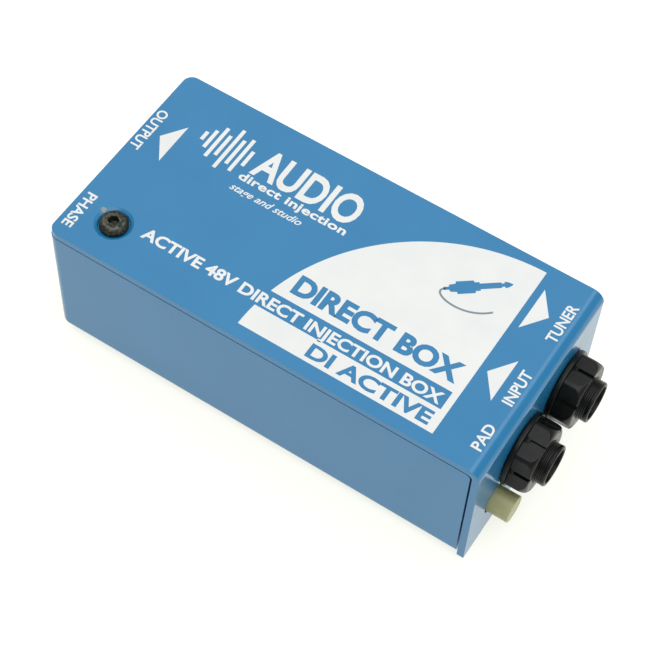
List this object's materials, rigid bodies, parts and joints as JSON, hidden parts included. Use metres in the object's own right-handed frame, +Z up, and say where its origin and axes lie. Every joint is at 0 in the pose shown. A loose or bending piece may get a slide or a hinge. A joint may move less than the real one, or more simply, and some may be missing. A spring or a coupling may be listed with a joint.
{
  "type": "direct injection box",
  "caption": "Small folded steel audio interface box with quarter-inch jacks and a push button at one end and a male three-pin output and a push button at the other.",
  "frame": {"origin": "centre of the underside of the rubber pad that the box stands on", "axes": "+X points to the jack end, -Y is the long side on the input side, +Z is up through the printed top"},
  "size_m": [0.1431, 0.062, 0.0459],
  "materials": {
    "blue_powder_coat": "satin powder coat with a fine texture and white screen printing",
    "black_nylon": "satin black moulded nylon",
    "black_oxide_steel": "black oxide",
    "black_rubber": "matt, closed-cell",
    "cream_plastic": "satin moulded plastic, aged cream",
    "dark_grey_plastic": "satin moulded plastic",
    "zinc_plated_steel": "bright zinc plate",
    "nickel_plate": "satin nickel plate",
    "spring_brass": "bright drawn",
    "board_laminate": "green solder mask",
    "capacitor_sleeve": "shrunk plastic sleeve",
    "film_capacitor_case": "dipped epoxy",
    "resistor_lacquer": "lacquered ceramic",
    "wire_insulation": "extruded insulation"
  },
  "bodies": {
    "case": {"amplifier_chip": "black_nylon", "base_pad": "black_rubber", "base_tray": "blue_powder_coat", "board_screw_1": "zinc_plated_steel", "board_screw_2": "zinc_plated_steel", "board_screw_3": "zinc_plated_steel", "board_screw_4": "zinc_plated_steel", "board_standoff_1": "zinc_plated_steel", "board_standoff_2": "zinc_plated_steel", "board_standoff_3": "zinc_plated_steel", "board_standoff_4": "zinc_plated_steel", "circuit_board": "board_laminate", "coupling_capacitor_1": "film_capacitor_case", "coupling_capacitor_2": "film_capacitor_case", "cover_clinch_nut": "zinc_plated_steel", "cover_screw": "black_oxide_steel", "input_jack_body": "black_nylon", "input_jack_nut": "black_nylon", "input_sleeve_spring": "spring_brass", "input_tip_spring": "spring_brass", "output_pin_1": "nickel_plate", "output_pin_2": "nickel_plate", "output_pin_3": "nickel_plate", "output_screw_lower": "zinc_plated_steel", "output_screw_upper": "zinc_plated_steel", "output_socket_insert": "black_nylon", "output_socket_shell": "nickel_plate", "output_wire_1": "wire_insulation", "output_wire_2": "wire_insulation", "output_wire_3": "wire_insulation", "pad_switch_housing": "dark_grey_plastic", "pad_switch_spring": "zinc_plated_steel", "phase_switch_housing": "dark_grey_plastic", "phase_switch_spring": "zinc_plated_steel", "resistor_1": "resistor_lacquer", "resistor_2": "resistor_lacquer", "resistor_3": "resistor_lacquer", "resistor_4": "resistor_lacquer", "supply_capacitor_1": "capacitor_sleeve", "supply_capacitor_2": "capacitor_sleeve", "top_cover": "blue_powder_coat", "transistor_1": "black_nylon", "transistor_2": "black_nylon", "tuner_jack_body": "black_nylon", "tuner_jack_nut": "black_nylon", "tuner_sleeve_spring": "spring_brass", "tuner_tip_spring": "spring_brass"},
    "pad_slider": {"pad_button": "cream_plastic", "pad_switch_plunger": "dark_grey_plastic"},
    "phase_slider": {"phase_button": "cream_plastic", "phase_switch_plunger": "dark_grey_plastic"}
  },
  "joints": [
    {"name": "pad_button_slide", "type": "slide", "parent": "case", "child": "pad_slider", "axis": [-1, 0, 0], "range_m": [0, 0.0025], "stiffness_N_per_m": 400, "springref_m": -0.002, "deforming": ["pad_switch_spring"]},
    {"name": "phase_button_slide", "type": "slide", "parent": "case", "child": "phase_slider", "axis": [1, 0, 0], "range_m": [0, 0.0025], "stiffness_N_per_m": 400, "springref_m": -0.002, "deforming": ["phase_switch_spring"]}
  ]
}
